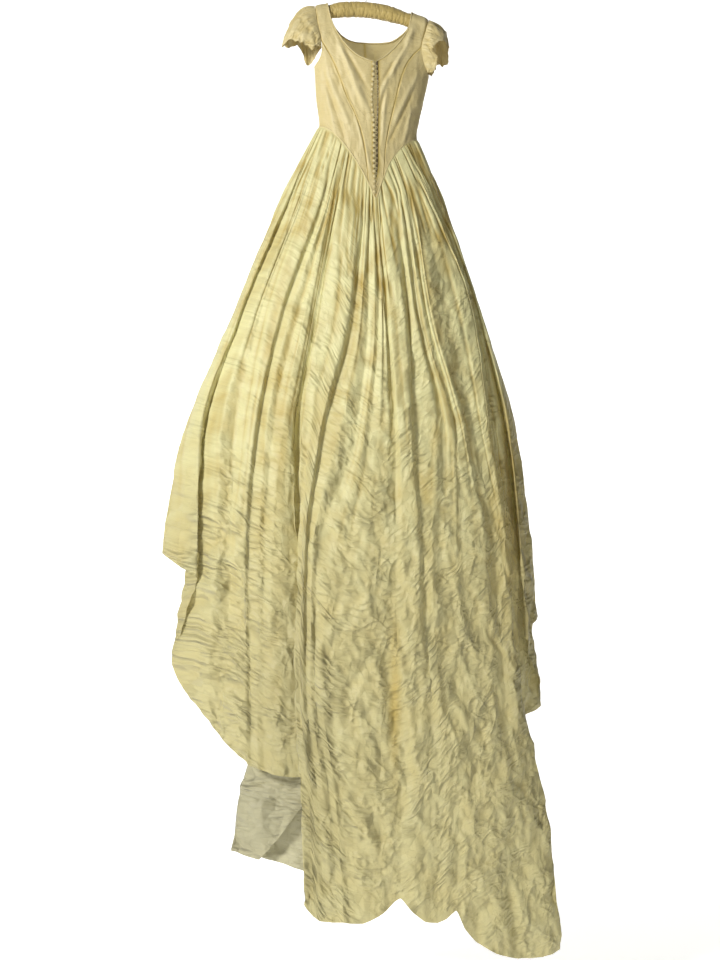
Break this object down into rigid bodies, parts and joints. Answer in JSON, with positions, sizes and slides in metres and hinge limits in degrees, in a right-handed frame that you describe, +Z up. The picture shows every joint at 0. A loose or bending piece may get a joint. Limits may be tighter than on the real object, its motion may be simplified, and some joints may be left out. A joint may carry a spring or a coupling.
{
  "type": "wedding dress on a padded hanger",
  "caption": "Silk bridal gown with cap sleeves, a pointed waist, a buttoned back and a long gathered train, hanging on a padded hanger",
  "frame": {"origin": "inside top of the hanger's hook, where it rests on a rail", "axes": "+Z up, +X across to the wearer's right, -Y out of the back of the dress; the dress hangs down from the origin"},
  "size_m": [1.1794, 0.4787, 2.9009],
  "materials": {
    "silk": "crumpled ivory silk, aged yellow",
    "pad_cover": "gathered ivory silk over padding",
    "hook": "plated steel wire"
  },
  "bodies": {
    "root": {"bodice_back_left": "silk", "bodice_back_right": "silk", "bodice_side_left": "silk", "bodice_side_right": "silk", "bodice_front_left": "silk", "bodice_front_right": "silk", "bodice_side_front_left": "silk", "bodice_side_front_right": "silk", "neck_binding": "silk", "waist_piping": "silk", "button_01": "silk", "button_02": "silk", "button_03": "silk", "button_04": "silk", "button_05": "silk", "button_06": "silk", "button_07": "silk", "button_08": "silk", "button_09": "silk", "button_10": "silk", "button_11": "silk", "button_12": "silk", "button_13": "silk", "button_14": "silk", "button_15": "silk", "button_16": "silk", "button_17": "silk", "button_18": "silk", "button_19": "silk", "button_20": "silk", "button_21": "silk", "button_22": "silk", "button_23": "silk", "button_24": "silk", "button_25": "silk", "button_26": "silk", "button_loop_cord": "silk", "sleeve_left": "silk", "sleeve_right": "silk", "skirt_side_left": "silk", "train_left": "silk", "train_right": "silk", "skirt_side_right": "silk", "skirt_front": "silk", "hanger_pad": "pad_cover", "hanger_hook": "hook"}
  },
  "joints": []
}
